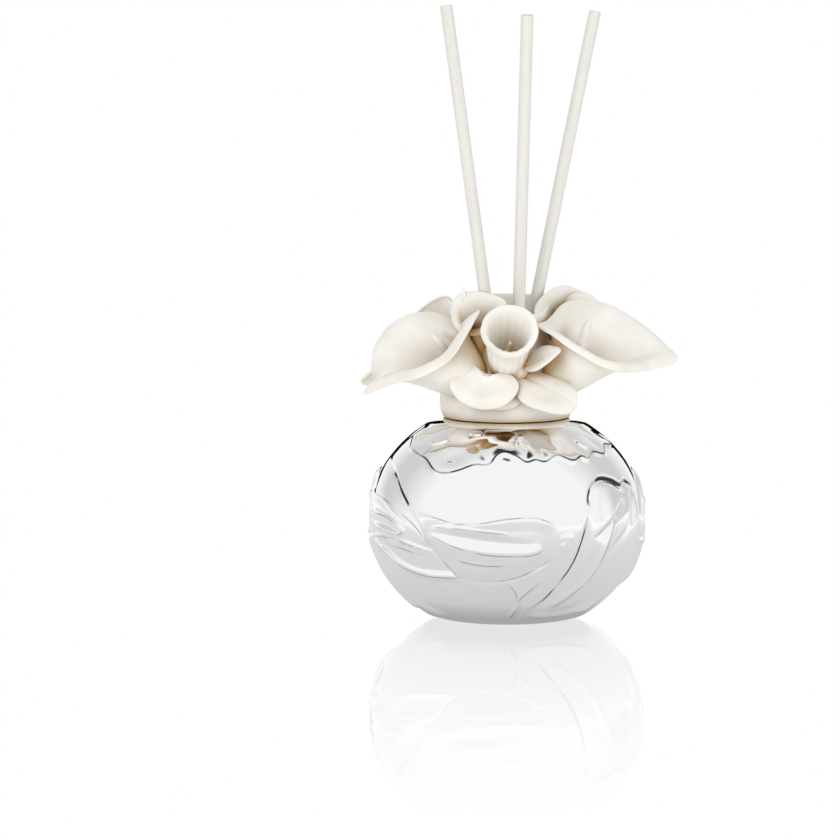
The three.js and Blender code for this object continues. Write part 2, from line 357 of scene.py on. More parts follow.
class Finish:
    """A surface finish that makes its material once."""

    name = "finish"

    @cache
    def material(self) -> bpy.types.Material:
        """Gives the finish's material, making it the first time."""
        return new_material(self.name, self.surface)

    def surface(self, tree: Tree) -> Socket:
        """Builds the nodes and gives the surface output."""
        raise NotImplementedError


@dataclass(frozen=True)
class SilveredPorcelain(Finish):
    """Glazed porcelain with a wet-plated silver film: a true mirror over soft waves, with painted dark
    reflection lines.
    """

    name = "wet_silvered_porcelain"
    line = "line"
    colour: str = "FCFCFD"
    painted_reflection_dark: str = "3E3F42"
    roughness: float = 0.03
    wave_mm: float = 9.0
    haze_mm: float = 3.0
    reflection_break_mm: float = 7.0

    def surface(self, tree: Tree) -> Socket:
        """Builds the nodes and gives the surface output."""
        place = own_place(tree)
        # The glaze under the film pools slightly, so reflections wander without any grain.
        waves = bumped(tree, speckle(tree, place, self.wave_mm, 1.0), 0.2, 0.25)
        haze = speckle(tree, place, self.haze_mm, 3.0)
        gloss = ranged(tree, haze, (0.0, 1.0), (self.roughness * 0.6, self.roughness * 1.5))
        # Painted reflection: the relief's sharp lines get a painted dark reflection, drawn as a dark hair.
        drawn = add(tree, "ShaderNodeAttribute", {"attribute_name": self.line}).outputs["Vector"]
        parts = add(tree, "ShaderNodeSeparateXYZ", links={0: drawn}).outputs
        off_line = add(tree, "ShaderNodeMath", {"operation": "ABSOLUTE"}, {0: parts["X"]}).outputs[0]
        painted_line_mask = ranged(tree, off_line, (0.35, 1.0), (1.0, 0.0), "SMOOTHSTEP")
        # Noise breaks the painted reflection here and there, so the dark hair comes and goes.
        left = ranged(tree, speckle(tree, place, self.reflection_break_mm, 1.0), (0.38, 0.6), (0.15, 1.0))
        dark = times(tree, times(tree, painted_line_mask, parts["Y"]), left)
        tone = ramp(tree, dark, [(0.0, self.colour), (1.0, self.painted_reflection_dark)])
        return add(
            tree, "ShaderNodeBsdfPrincipled", {"Metallic": 1.0},
            {"Base Color": tone, "Roughness": gloss, "Normal": waves},
        ).outputs["BSDF"]


@dataclass(frozen=True)
class BisquePorcelain(Finish):
    """Unglazed porcelain, hand formed and fired: a soft matte ivory, with painted warm shade in its hollows.
    """

    name: str = "hand_formed_bisque"
    colour: str = "FBF9F4"
    # Bowl, hollow, crevice and deepest are painted shade colours, chosen by occlusion.
    bowl: str = "DDD6CA"
    hollow: str = "E4CA96"
    crevice: str = "C07A20"
    deepest: str = "452206"
    roughness: float = 0.52
    reach_mm: float = 16.0
    grain_mm: float = 0.35
    cloud_mm: float = 14.0

    def surface(self, tree: Tree) -> Socket:
        """Builds the nodes and gives the surface output."""
        place = own_place(tree)
        # Painted shade with painted warm bounce light between the petals: the deeper a spot lies, the darker
        # and warmer its painted colour.
        open_sky = add(tree, "ShaderNodeAmbientOcclusion", {"Distance": self.reach_mm * MM, "samples": 12})
        painted_shade_tint = ramp(
            tree, open_sky.outputs["AO"],
            [
                (0.03, self.deepest), (0.86, self.colour), (0.11, self.crevice), (0.28, self.hollow),
                (0.5, self.bowl),
            ],
        )
        clouds = speckle(tree, place, self.cloud_mm, 2.0)
        shade = ramp(tree, clouds, [(0.35, "F4F1EC"), (0.65, "FFFFFF")])
        mixing = {"data_type": "RGBA", "blend_type": "MULTIPLY", 0: 1.0}
        colour = add(tree, "ShaderNodeMix", mixing, {6: painted_shade_tint, 7: shade}).outputs[2]
        # Fired clay keeps a fine tooth from the kiln, under half a millimetre across.
        tooth = speckle(tree, place, self.grain_mm, 2.0)
        rough = ranged(tree, tooth, (0.0, 1.0), (self.roughness - 0.06, self.roughness + 0.08))
        return add(
            tree, "ShaderNodeBsdfPrincipled",
            {
                "IOR": 1.5, "Subsurface Weight": 0.15, "Subsurface Radius": (1.0, 0.75, 0.5),
                "Subsurface Scale": 1.2 * MM,
            },
            {"Base Color": colour, "Roughness": rough, "Normal": bumped(tree, tooth, 0.25, 0.03)},
        ).outputs["BSDF"]


@dataclass(frozen=True)
class SiliconeRubber(Finish):
    """Moulded translucent-white silicone: satin, with the mould's fine matte texture."""

    name = "moulded_silicone"
    colour: str = "E4E2DC"
    shade: str = "DCD9D1"
    roughness: float = 0.48
    grain_mm: float = 0.4

    def surface(self, tree: Tree) -> Socket:
        """Builds the nodes and gives the surface output."""
        skin = speckle(tree, own_place(tree), self.grain_mm, 2.0)
        tone = ramp(tree, skin, [(0.2, self.shade), (0.8, self.colour)])
        return add(
            tree, "ShaderNodeBsdfPrincipled",
            {
                "Roughness": self.roughness, "IOR": 1.43, "Subsurface Weight": 0.2,
                "Subsurface Scale": 1.0 * MM,
            },
            {"Base Color": tone, "Normal": bumped(tree, skin, 0.2, 0.03)},
        ).outputs["BSDF"]


@dataclass(frozen=True)
class BondedFibre(Finish):
    """Bonded polyester fibre: white rods whose drawn fibres show as fine lengthwise streaks."""

    name = "drawn_fibre"
    grain = "grain"
    colour: str = "E9E8E2"
    groove: str = "DFDED7"
    roughness: float = 0.85
    fibre_mm: float = 0.35
    run_mm: float = 14.0

    def surface(self, tree: Tree) -> Socket:
        """Builds the nodes and gives the surface output."""
        # Each rod carries its own place along and across itself, so the streaks follow its lean.
        place = add(tree, "ShaderNodeAttribute", {"attribute_name": self.grain}).outputs["Vector"]
        scale = tuple(1 / (size * MM) for size in (self.fibre_mm, self.fibre_mm, self.run_mm))
        stretch = add(tree, "ShaderNodeMapping", {"Scale": scale}, {"Vector": place}).outputs[0]
        noisy = add(tree, "ShaderNodeTexNoise", {"Scale": 1.0, "Detail": 3.0}, {"Vector": stretch})
        streaks = noisy.outputs["Fac"]
        tone = ramp(tree, streaks, [(0.3, self.groove), (0.55, self.colour)])
        return add(
            tree, "ShaderNodeBsdfPrincipled",
            {"Roughness": self.roughness, "Subsurface Weight": 0.1, "Subsurface Scale": 0.8 * MM},
            {"Base Color": tone, "Normal": bumped(tree, streaks, 0.35, 0.08)},
        ).outputs["BSDF"]


# ------------------------------------------------------------------ pot
@dataclass(frozen=True)
class Fold:
    """One modelled line of the pot's relief: a leaf's edge or vein, or a stem.

    The path holds degrees round from the front and millimetres up from the foot. The clay
    rises on the line, fades slowly to the left of the path's direction and fast to its right.
    Reflection width is the half width of the painted dark reflection along the line, and shade is how dark
    that painted reflection is.
    """

    path: tuple[Spot, ...]
    rise: float = 0.9
    slow: float = 6.0
    fast: float = 0.9
    reflection_width: float = 0.34
    taper: float = 0.15
    shade: float = 0.45


@dataclass(frozen=True)
class Swell:
    """A soft oval rise or hollow of the relief.

    Its centre is degrees round and millimetres up, and its size is millimetres along and
    across. Firmness is the part of the size that stays flat before the edge falls.
    """

    centre: Spot
    size: Spot
    turned: float = 0.0
    rise: float = 0.8
    firmness: float = 0.0


@dataclass
class Belly:
    """The points that take the relief, in millimetres, with the direction outwards at each.

    Surface gives the plain belly's point at degrees round and millimetres up.
    """

    place: np.ndarray
    normal: np.ndarray
    surface: Callable[[Spot], Vector]


class Relief:
    """The lilies and leaves pressed into the pot's mould, as a height over its belly."""

    LINE_REACH = 2.0
    OVAL_REACH = 30.0
    FAR = 9.0
    SPREAD = (
        # The lily that lies across the front: its far rim, hollow, near lip and body.
        Fold(((-41, 39.2), (-31, 37.8), (-22, 36.5), (-12, 36.8), (-2, 38.2), (8, 38.7), (14, 37.8),
              (20, 35.5)), 0.55, 1.2, 4.5),
        Fold(((-36, 33), (-29, 31), (-20, 28.6), (-10, 27), (0, 26.6), (9, 26.8), (15, 28.5)),
             0.85, 4.6, 5.5),
        Fold(((-33, 34.8), (-22, 34.9), (-12, 34.3), (0, 33.4)), 0.25, 0.7, 1.6),
        Fold(((19, 25.6), (13, 22.6), (5, 19.4), (-4, 17.7), (-14, 17.4), (-24, 19), (-33, 27), (-38, 34)),
             -0.55, 0.9, 7.0),
        Fold(((-22, 24.5), (-12, 23.4), (-2, 23.4)), 0.2, 0.8, 0.8),
        # The stem and leaf that cross it on the left.
        Fold(((-84, 54), (-66, 50.5), (-55, 45.8), (-48, 41.8), (-42, 36.7), (-36, 30), (-30, 24), (-24, 19),
              (-16, 16.6)), -1.0, 0.8, 8.0, 0.0),
        Fold(((-67, 50.6), (-60, 48.3), (-55, 45.8), (-51, 43.4), (-47, 41)), -0.4, 0.8, 1.4, 1.1, 0.12, 3.0),
        Fold(((-84, 42.6), (-63, 41.3), (-53, 38.8), (-44, 35.5), (-38, 31.5), (-34, 27.5)), 0.7, 1.0, 6.0),
        Fold(((-84, 35.8), (-65, 36.2), (-54, 34.8), (-48.5, 32.4), (-52, 31), (-62, 31.4), (-78, 32.4)),
             0.7, 0.8, 3.0),
        Fold(((-84, 26.6), (-72, 28.6), (-60, 29.2), (-50, 28.9), (-40, 27.6), (-33, 26.6)), 0.6, 0.8, 3.4),
        Fold(((-61, 27.6), (-50, 26.7), (-42, 25.8), (-34, 26)), 0.25, 0.7, 0.9),
        Fold(((-74, 28), (-68, 26), (-60, 23.4), (-51, 20.6), (-40, 18.9), (-30, 18.4), (-20, 17.9)),
             1.0, 2.6, 2.4),
        Fold(((-84, 29), (-78, 22), (-74, 14), (-70, 8), (-66, 4)), 1.1, 5.0, 1.2),
        Fold(((-72, 27), (-69, 18.6), (-64, 12), (-56, 6), (-40, 2.8)), 0.7, 4.0, 1.2),
        # The upright lily on the right: its rolled mouth, left edge, folds and right edge.
        Fold(((35, 41), (36.5, 44.6), (40, 47.8), (46, 49.6), (54, 48.6), (60, 46.6), (66, 47.6), (70, 45)),
             -1.3, 1.0, 3.4, 0.7, 0.15, 2.0),
        Fold(((7, 4.6), (17, 10), (23, 15.5), (28, 22.3), (31, 29), (33.5, 36), (35, 41)),
             -1.1, 1.2, 5.0, 0.5, 0.35, 1.6),
        Fold(((37, 30.6), (45, 34.7), (51, 38.9), (58.5, 42.6)), -0.5, 0.8, 4.0),
        Fold(((43, 23.6), (52, 29.4), (58, 32.6), (62, 37), (66, 45)), -0.5, 0.8, 4.0),
        Fold(((22, 8), (30, 12.4), (37, 17), (42, 24), (45.5, 31), (49, 36.5)), 0.9, 2.4, 2.6),
        Fold(((40, 5), (52, 8), (62, 15), (66, 24), (67, 34), (70, 45)), 0.9, 4.0, 1.4),
        Fold(((8, 4.8), (24, 4.4), (40, 5.2), (56, 8), (70, 13), (80, 21)), 0.6, 3.0, 0.9),
        # Its neighbour's stem, seen at the far right.
        Fold(((92, 50), (82, 44), (77, 36), (77, 27), (81, 17), (90, 9)), 1.2, 2.2, 2.0),
        Fold(((74, 26), (82, 28), (92, 28)), 0.8, 1.6, 1.2),
        # The scalloped edge of the sepals that drape the shoulder.
        Fold(((-78, 60.5), (-70, 60.5), (-61, 57.6), (-52, 56.2), (-44, 55), (-36, 52), (-30, 51.6),
              (-24, 52.6), (-17, 54.4), (-10, 54.6), (-6.5, 57.2), (-2.4, 58.2), (3.4, 57.1), (8.4, 55.3),
              (13, 55.9), (18, 55.3), (25, 56.9),
              (33, 55.2), (39, 56.2), (43.2, 55.4), (49, 57), (57, 56), (64, 58.4), (72, 58), (80, 60)),
             0.8, 8.0, 1.5, 0.45, 0.04, 1.0),
        # The stalk under the front lily.
        Fold(((-1, 17.4), (3, 14), (4.6, 10), (3, 6.8), (0, 3.6)), 0.5, 1.8, 1.6),
        Fold(((4, 11), (9, 14.4), (14, 18)), 0.35, 1.6, 1.2),
    )
    SWELLS = (
        Swell((-12, 31.2), (21, 2.6), -5, -0.9),
        Swell((-8, 21), (20, 5.5), 3, 0.6),
        Swell((-68, 39), (9, 3.5), -12, -0.5),
        Swell((48, 40), (5.5, 9), 0, 0.5),
        Swell((23.5, 29), (2.0, 2.0), 0, 0.35, 0.6),
        Swell((24, 31.6), (2.6, 1.4), 0, 0.25, 0.6),
        Swell((80, 39), (2.2, 2.2), 0, 0.5, 0.5),
        Swell((-43.5, 60.4), (4.4, 1.3), 28, 0.5, 0.45),
        Swell((-21, 63.6), (3.0, 1.2), 0, 0.35, 0.4),
        Swell((45, 59.6), (1.7, 3.2), 24, 0.6, 0.5),
        Swell((5, 62.6), (3.4, 1.0), 20, 0.2, 0.2),
        Swell((-30, 56), (10, 5), -10, -0.35),
        Swell((0, 55), (5, 6), 0, 0.3),
        Swell((24, 55.5), (5, 5), 0, 0.25),
        Swell((-10, 47), (12, 6), 0, 0.2),
        Swell((18, 46), (9, 7), 0, 0.2),
    )

    def press(self, belly: Belly) -> tuple[np.ndarray, np.ndarray]:
        """Works out how far each point of the belly is raised, and where its lines run.

        Args:
            belly: The points.

        Returns:
            Heights in millimetres, and each point's signed distance to the nearest line, as
            a part of that line's painted reflection width, with how dark its painted reflection is.
        """
        total = np.zeros(len(belly.place))
        lines = np.column_stack((np.full(len(total), self.FAR), np.zeros(len(total))))
        for turn in (0.0, 180.0):
            for fold in self.SPREAD:
                rows, raised, off, dark = self.along(fold, turn, belly)
                total[rows] += raised
                if fold.reflection_width:
                    nearer = (np.abs(off) < np.abs(lines[rows, 0])) & (dark > 0)
                    lines[rows[nearer]] = np.column_stack((off / fold.reflection_width, dark))[nearer]
            for swell in self.SWELLS:
                total += self.oval(swell, turn, belly)
        return total, lines

    def along(
        self, fold: Fold, turn: float, belly: Belly
    ) -> tuple[np.ndarray, np.ndarray, np.ndarray, np.ndarray]:
        """Works out one fold's height and line.

        Args:
            fold: The fold.
            turn: Degrees that it is turned round the pot.
            belly: The points.

        Returns:
            The rows of the points that it may reach, their heights in millimetres, their
            signed distances to its line and how dark its painted reflection is there.
        """
        spots = catmull(fold.path, 6 * len(fold.path), False)
        line = np.array([belly.surface((a + turn, z))[:] for a, z in spots])
        widest = max(fold.slow, fold.fast, self.LINE_REACH)
        inside = (belly.place > line.min(0) - widest) & (belly.place < line.max(0) + widest)
        close = np.where(inside.all(1))[0]
        points, normals = belly.place[close], belly.normal[close]
        best, which, where = np.full(len(close), 1e9), np.zeros(len(close)), np.zeros(len(close))
        for index, (a, b) in enumerate(zip(line, line[1:])):
            step = b - a
            part = np.clip((points - a) @ step / max(step @ step, 1e-9), 0, 1)
            away = points - (a + part[:, None] * step)
            distance = np.linalg.norm(away, axis=1)
            nearer = distance < best
            best = np.where(nearer, distance, best)
            which = np.where(nearer, (away * np.cross(normals, step)).sum(1), which)
            where = np.where(nearer, (index + part) / (len(line) - 1), where)
        reach = np.where(which > 0, fold.slow, fold.fast)
        ends = smoothstep(0, fold.taper, where) * smoothstep(0, fold.taper, 1 - where)
        raised = fold.rise * ends * (1 - smoothstep(0, 1, best / reach))
        # Painted reflection: how dark the line's painted dark reflection is near it.
        dark = fold.shade * ends * (1 - smoothstep(0.5, 1, best / self.LINE_REACH))
        return close, raised, np.copysign(best, which), dark

    def oval(self, swell: Swell, turn: float, belly: Belly) -> np.ndarray:
        """Works out one swell's height.

        Args:
            swell: The swell.
            turn: Degrees that it is turned round the pot.
            belly: The points.

        Returns:
            Heights in millimetres.
        """
        round_to, up_to = swell.centre
        centre = np.array(belly.surface((round_to + turn, up_to))[:])
        sideways = np.array(belly.surface((round_to + turn + 1, up_to))[:]) - centre
        upwards = np.array(belly.surface((round_to + turn, up_to + 1))[:]) - centre
        sideways, upwards = sideways / np.linalg.norm(sideways), upwards / np.linalg.norm(upwards)
        tilt = math.radians(swell.turned)
        away = belly.place - centre
        x, y = away @ sideways, away @ upwards
        along = (x * math.cos(tilt) + y * math.sin(tilt)) / swell.size[0]
        across = (-x * math.sin(tilt) + y * math.cos(tilt)) / swell.size[1]
        # The far side of the pot lies behind the oval too, and isn't raised.
        behind = np.linalg.norm(away, axis=1) > self.OVAL_REACH
        far = np.sqrt(along**2 + across**2) + np.where(behind, self.FAR, 0)
        return swell.rise * (1 - smoothstep(swell.firmness, 1.0, far))


@dataclass
class Pot:
    """The silvered pot: a hollow belly with relief, a flat foot and an upright neck."""

    middle: float = 33.0
    half_height: float = 39.0
    shoulder: float = 66.2
    wall: float = 3.0
    floor: float = 3.4
    foot: float = 17.5
    neck_outer: float = 17.6
    neck_bore: float = 15.0
    deepest: float = -1.3
    highest: float = 1.6
    relief_from: float = 1.8
    relief_below_shoulder: float = 1.4
    belly_rows: int = 150
    steps: int = 480
    finish: Finish = SilveredPorcelain()

    def __post_init__(self) -> None:
        """Takes the pot's width and height from its node."""
        low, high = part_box("pot")
        self.widest = (high.x - low.x) / 2 / MM
        self.top = high.z / MM

    def radius(self, z: float, inset: float = 0.0) -> float:
        """Gives the belly's radius at a height.

        Args:
            z: Height in millimetres.
            inset: How far inside the outer surface.

        Returns:
            The radius in millimetres.
        """
        along = (z - self.middle) / (self.half_height - inset)
        return (self.widest - inset) * math.sqrt(max(0.0, 1 - along * along))

    def surface(self, spot: Spot) -> Vector:
        """Gives the point of the plain belly at degrees round from the front and a height."""
        angle, radius = math.radians(spot[0]), self.radius(spot[1])
        return Vector((radius * math.sin(angle), -radius * math.cos(angle), spot[1]))

    def profile(self) -> list[Spot]:
        """Gives the section from the foot up the outside, over the neck and down the inside."""
        low, high = 1.6, self.shoulder - 1.2
        edge = [(self.foot * k, 0.0) for k in (0, 0.5, 0.96)]
        edge += [(self.foot + 1.2, 0.06), (self.foot + 4.2, 0.45), (self.foot + 7.2, 0.95)]
        # Rows are spaced evenly round the section, so they stay close together at the shoulder.
        first = math.asin((low - self.middle) / self.half_height)
        last = math.asin((high - self.middle) / self.half_height)
        for angle in np.linspace(first, last, self.belly_rows):
            z = self.middle + self.half_height * math.sin(angle)
            edge.append((self.radius(z), z))
        n, b, t = self.neck_outer, self.neck_bore, self.top
        edge += [(21.4, self.shoulder), (n + 0.5, self.shoulder + 0.1), (n + 0.1, self.shoulder + 0.3)]
        edge += [(n, self.shoulder + 0.8), (n, t - 0.7), (n - 0.2, t - 0.2), (n - 0.7, t)]
        edge += [(b + 0.7, t), (b + 0.2, t - 0.2), (b, t - 0.7), (b, 63.2), (b + 0.2, 62.7), (b + 0.9, 62.4)]
        for z in np.linspace(61.2, self.floor + 1.6, 22):
            edge.append((self.radius(z, self.wall), z))
        return edge + [(self.foot, self.floor), (0.0, self.floor)]

    def build(self) -> None:
        """Spins the pot, presses the relief into its belly and puts it on its body."""
        shape = spun(self.profile(), self.steps)
        drawn = shape.verts.layers.float_vector.new(SilveredPorcelain.line)
        low, high = self.relief_from, self.shoulder - self.relief_below_shoulder
        belly = [
            v for v in shape.verts
            if low < v.co.z < high and v.co.xy.length > self.radius(v.co.z) - 0.5
        ]
        place = np.array([v.co[:] for v in belly])
        # The belly is wider than it is tall, so its outward direction is steeper than its radius.
        steepness = (self.widest / self.half_height) ** 2
        slope = np.column_stack((place[:, 0], place[:, 1], (place[:, 2] - self.middle) * steepness))
        normal = slope / np.linalg.norm(slope, axis=1)[:, None]
        raised, lines = Relief().press(Belly(place, normal, self.surface))
        # The relief dies out before the foot and the seat, which stay plain.
        raised *= smoothstep(low, low + 2.5, place[:, 2]) * (1 - smoothstep(high - 1.6, high, place[:, 2]))
        raised = np.clip(raised, self.deepest, self.highest)
        # Each belly vertex also keeps where its painted reflection line runs and how dark it is.
        for vert, spot, line in zip(belly, place + normal * raised[:, None], lines):
            vert.co = spot
            vert[drawn] = (line[0], line[1], 0.0)
        belongs(finished("silvered_pot", shape, self.finish), "pot", "silvered_porcelain", "pot")


# ------------------------------------------------------------------ stopper
@dataclass
class Stopper:
    """The bisque stopper: plug, skirt over the neck, and the tube that holds the reeds."""

    skirt: float = 21.9
    skirt_inside: float = 18.1
    plug: float = 14.2
    bore: float = 10.8
    rim_outer: float = 13.9
    rim_bore: float = 12.4
    groove: float = 12.9
    groove_half: float = 1.05
    ring_height: float = 61.2
    ring_radius: float = 14.05
    ring_cord: float = 0.7
    seat: float = 66.5
    roof: float = 74.6
    uneven_from: float = 76.0
    uneven_size: float = 9.0
    uneven_depth: float = 0.35
    mouth_from: float = 92.0
    mouth_drop: float = 5.0
    steps: int = 200
    # A copy of the bisque with a short occlusion reach, so its painted shade is lighter.
    finish: Finish = BisquePorcelain("bisque_less_painted_shade", reach_mm=7.0)
    rubber: Finish = SiliconeRubber()

    def __post_init__(self) -> None:
        """Takes the stopper's heights from its node."""
        low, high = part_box("stopper_body")
        self.bottom, self.rim = low.z / MM, high.z / MM

    def body_profile(self) -> list[Spot]:
        """Gives the section of the stopper's body as a closed loop."""
        seat, roof = self.seat, self.roof
        below, above = self.ring_height - self.groove_half, self.ring_height + self.groove_half
        loop = [(self.bore, self.bottom + 0.3), (self.bore + 0.3, self.bottom)]
        loop += [(self.plug - 0.9, self.bottom), (self.plug - 0.2, self.bottom + 0.6)]
        loop += [(self.plug, self.bottom + 1.3), (self.plug, below)]
        loop += [(self.groove, below), (self.groove, above), (self.plug, above)]
        loop += [(self.plug, roof), (self.skirt_inside, roof), (self.skirt_inside, seat)]
        outside = [
            (20.7, seat), (21.2, 67.3), (21.7, 69), (21.95, 71), (21.9, 72.8), (21.6, 74.6), (21.1, 76.3),
            (20.4, 78), (19.2, 80.2), (17.6, 82.6), (16.2, 85.6), (15.2, 90), (14.5, 96), (14.1, 101),
            (self.rim_outer, self.rim - 1.0),
        ]
        loop += [tuple(p) for p in catmull(outside, 60, False)]
        loop += [(self.rim_outer - 0.15, self.rim - 0.3), (self.rim_outer - 0.5, self.rim)]
        loop += [(self.rim_bore + 0.45, self.rim), (self.rim_bore + 0.1, self.rim - 0.3)]
        loop += [(self.rim_bore, self.rim - 1), (11.6, 92.0), (self.bore, roof + 4), (self.bore, roof)]
        return loop

    def build(self) -> None:
        """Spins the body and the ring, and puts them on their bodies."""
        body = spun(self.body_profile(), self.steps)
        # Hand-luted clay is a little uneven above the turned skirt.
        for vert in body.verts:
            if vert.co.xy.length > self.rim_bore and vert.co.z > self.uneven_from:
                grown = min(1.0, (vert.co.z - self.uneven_from) / 4)
                swell = noise.noise(vert.co / self.uneven_size) * self.uneven_depth * grown
                vert.co += Vector((vert.co.x, vert.co.y, 0)).normalized() * swell
        # The mouth is pared down at the front, behind the flowers, so the reeds show inside it.
        for vert in body.verts:
            high_up = max(0.0, (vert.co.z - self.mouth_from) / (self.rim - self.mouth_from))
            vert.co.z -= self.mouth_drop * high_up * min(1.0, max(0.0, 0.35 - vert.co.y / self.rim_outer))
        belongs(finished("bisque_stopper", body, self.finish), "stopper", "bisque_porcelain", "stopper_body")

        circle = [
            (self.ring_radius + self.ring_cord * math.cos(a), self.ring_height + self.ring_cord * math.sin(a))
            for a in np.linspace(0, math.tau, 16, endpoint=False)
        ]
        ring = spun(circle, 120)
        belongs(finished("silicone_seal", ring, self.rubber), "seal_ring", "silicone", "seal_ring")


# ------------------------------------------------------------------ flowers
@dataclass(frozen=True)
class Spadix:
    """The finger in a flower: where it stands, which way it points, and its size."""

    root: Point
    along: Point
    length: float
    radius: float

    def shape(self) -> bmesh.types.BMesh:
        """Spins the finger, roughens it like packed florets and stands it in its flower."""
        r, h = self.radius, self.length
        outline = (
            (0, 0), (0.75, 0.0), (0.95, 0.12), (1.0, 0.3), (0.97, 0.5), (0.88, 0.7), (0.68, 0.86),
            (0.42, 0.95), (0.2, 0.99), (0, 1),
        )
        profile = [(r * width, h * height) for width, height in outline]
        finger = spun([tuple(p) for p in catmull(profile, 40, False)], 24)
        for vert in finger.verts:
            out = Vector((vert.co.x, vert.co.y, 0))
            if out.length > 0.05 * r:
                vert.co += out.normalized() * noise.noise(vert.co * 1.6) * 0.12 * r
        bmesh.ops.transform(finger, matrix=turned_to(self.along, self.root), verts=finger.verts)
        return finger


@dataclass(frozen=True)
class Horn:
    """A sheet of clay rolled into a horn, such as a lily's spathe or a narcissus's trumpet.

    The rim is a closed line of points, from the seam along the near lip to the tip and back.
    The wall leaves its root along rising, passes roll above the rim towards facing, turns
    down to it and curls under. Low roll adds to the roll at the rim's lower side, and spread
    says how much broader the lip is where the rim is far from its middle. Lean is how far
    the wall sets out straight for its own rim instead. Depth hollows the bowl away from
    facing, and flutes are pressed down the inside.
    """

    rim: tuple[Point, ...]
    root: Point
    rising: Point
    facing: Point
    roll: float
    tube: float = 3.4
    flare: float = 6.0
    flutes: int = 0
    flute_depth: float = 0.0
    curl: float = 0.3
    low_roll: float = 0.0
    spread: float = 1.0
    lean: float = 0.0
    depth: float = 0.0
    wander: float = 0.35
    wander_size: float = 11.0
    curl_degrees: float = 100.0
    around: int = 96
    rows: int = 24
    curl_rows: int = 2
    thickness: float = 1.3
    thinnest: float = 0.5

    def walls(self) -> np.ndarray:
        """Works out the wall's points: one column for each place round the rim."""
        edge = [Vector(p) for p in catmull(self.rim, self.around, True)]
        centre = sum(edge, Vector()) / self.around
        up, out, start = unit(self.rising), unit(self.facing), Vector(self.root)
        reach = (centre - start).length * 0.55
        tallest = max(abs(rim.z - centre.z) for rim in edge)
        mean = sum((rim - centre).length for rim in edge) / self.around
        columns = []
        for number, rim in enumerate(edge):
            away = rim - centre
            side = (away - up * away.dot(up)).normalized() * self.tube
            flare = self.flare * (away.length / mean) ** self.spread
            away.normalize()
            roll = self.roll + self.low_roll * (centre.z - rim.z) / tallest
            onward = up.lerp((rim - start).normalized(), self.lean)
            a, b = start + side, start + side + onward * reach - out * self.depth
            c, d = rim + out * roll - away * flare, rim
            column = []
            for row in range(self.rows + 1):
                t = row / self.rows
                p = a * (1 - t) ** 3 + b * 3 * t * (1 - t) ** 2 + c * 3 * t * t * (1 - t) + d * t**3
                if self.flutes:
                    wave = math.cos(self.flutes * math.tau * number / self.around)
                    p += away * wave * self.flute_depth * math.sin(math.pi * min(1.0, t * 1.1))
                p += noise.noise_vector(p / self.wander_size) * self.wander * t
                column.append(p)
            ahead = (column[-1] - column[-2]).normalized()
            under = (-away + ahead * away.dot(ahead)).normalized()
            for row in range(1, self.curl_rows + 1):
                turned = math.radians(self.curl_degrees) * row / self.curl_rows
                curled = ahead * self.curl * math.sin(turned) + under * self.curl * (1 - math.cos(turned))
                column.append(d + curled)
            columns.append(column)
        return np.array([[p[:] for p in column] for column in columns])

    def shape(self) -> bmesh.types.BMesh:
        """Lays a grid along the wall, joins it round and closes its root."""
        walls = self.walls()
        last = walls.shape[1]
        pit = Vector(walls[:, 0].mean(0)) - unit(self.rising) * self.tube * 0.6
        sheet = bmesh.new()
        bmesh.ops.create_grid(sheet, x_segments=self.around, y_segments=last, size=0.5)
        full = sheet.verts.layers.deform.verify()
        for vert in sheet.verts:
            column = round((vert.co.x + 0.5) * self.around) % self.around
            row = round((vert.co.y + 0.5) * last) - 1
            vert.co = Vector(walls[column][row]) if row >= 0 else pit
            vert[full][0] = min(1.0, (last - 1 - row) / (0.35 * last))
        bmesh.ops.remove_doubles(sheet, verts=sheet.verts, dist=1e-4)
        return sheet


@dataclass(frozen=True)
class Petal:
    """An oval leaf of clay: dished, drooping along, with its edge rolled over.

    Each lobe is an angle round the leaf, a part of the leaf's size that its edge moves out
    there, and a width in degrees. 90 is the far end and -90 the root. The crease is pressed
    along the leaf, at a part of its half width, this deep.
    """

    root: Point
    along: Point
    facing: Point
    length: float
    width: float
    dish: float = 2.0
    droop: float = 1.8
    edge_roll: float = 1.6
    lobes: tuple[Point, ...] = ()
    crease: Spot = (0.0, 0.0)
    ripple: float = 0.35
    wander: float = 0.3
    wander_size: float = 9.0
    cells: int = 34
    thickness: float = 1.4
    thinnest: float = 0.6

    def shape(self) -> bmesh.types.BMesh:
        """Rounds a grid into an oval and bends it into place."""
        y, z = unit(self.along), unit(self.facing)
        x = y.cross(z).normalized()
        z = x.cross(y)
        leaf = bmesh.new()
        bmesh.ops.create_grid(leaf, x_segments=self.cells, y_segments=self.cells, size=1.0)
        full = leaf.verts.layers.deform.verify()
        for vert in leaf.verts:
            u, v = vert.co.x, vert.co.y
            across, run = u * math.sqrt(1 - v * v / 2), v * math.sqrt(1 - u * u / 2)
            far = math.hypot(across, run)
            heading = math.degrees(math.atan2(run, across))
            part = (run + 1) / 2
            lift = self.dish * far * far - self.droop * part * part
            lift -= self.edge_roll * max(0.0, (far - 0.55) / 0.45) ** 2 * (0.4 + 0.6 * part)
            lift += self.ripple * math.sin(math.radians(3 * heading)) * far**3
            lift -= self.crease[1] * math.exp(-(((across - self.crease[0]) / 0.12) ** 2)) * far * (1.2 - part)
            for angle, out, width in self.lobes:
                off = (heading - angle + 180) % 360 - 180
                grown = 1 + out * math.exp(-((off / width) ** 2)) * far * far
                across, run = across * grown, run * grown
            flat = x * across * self.width / 2 + y * (run + 1) / 2 * self.length
            vert.co = Vector(self.root) + flat + z * lift
            vert.co += noise.noise_vector(vert.co / self.wander_size) * self.wander
            vert[full][0] = min(1.0, 3 * (1 - far))
        return leaf


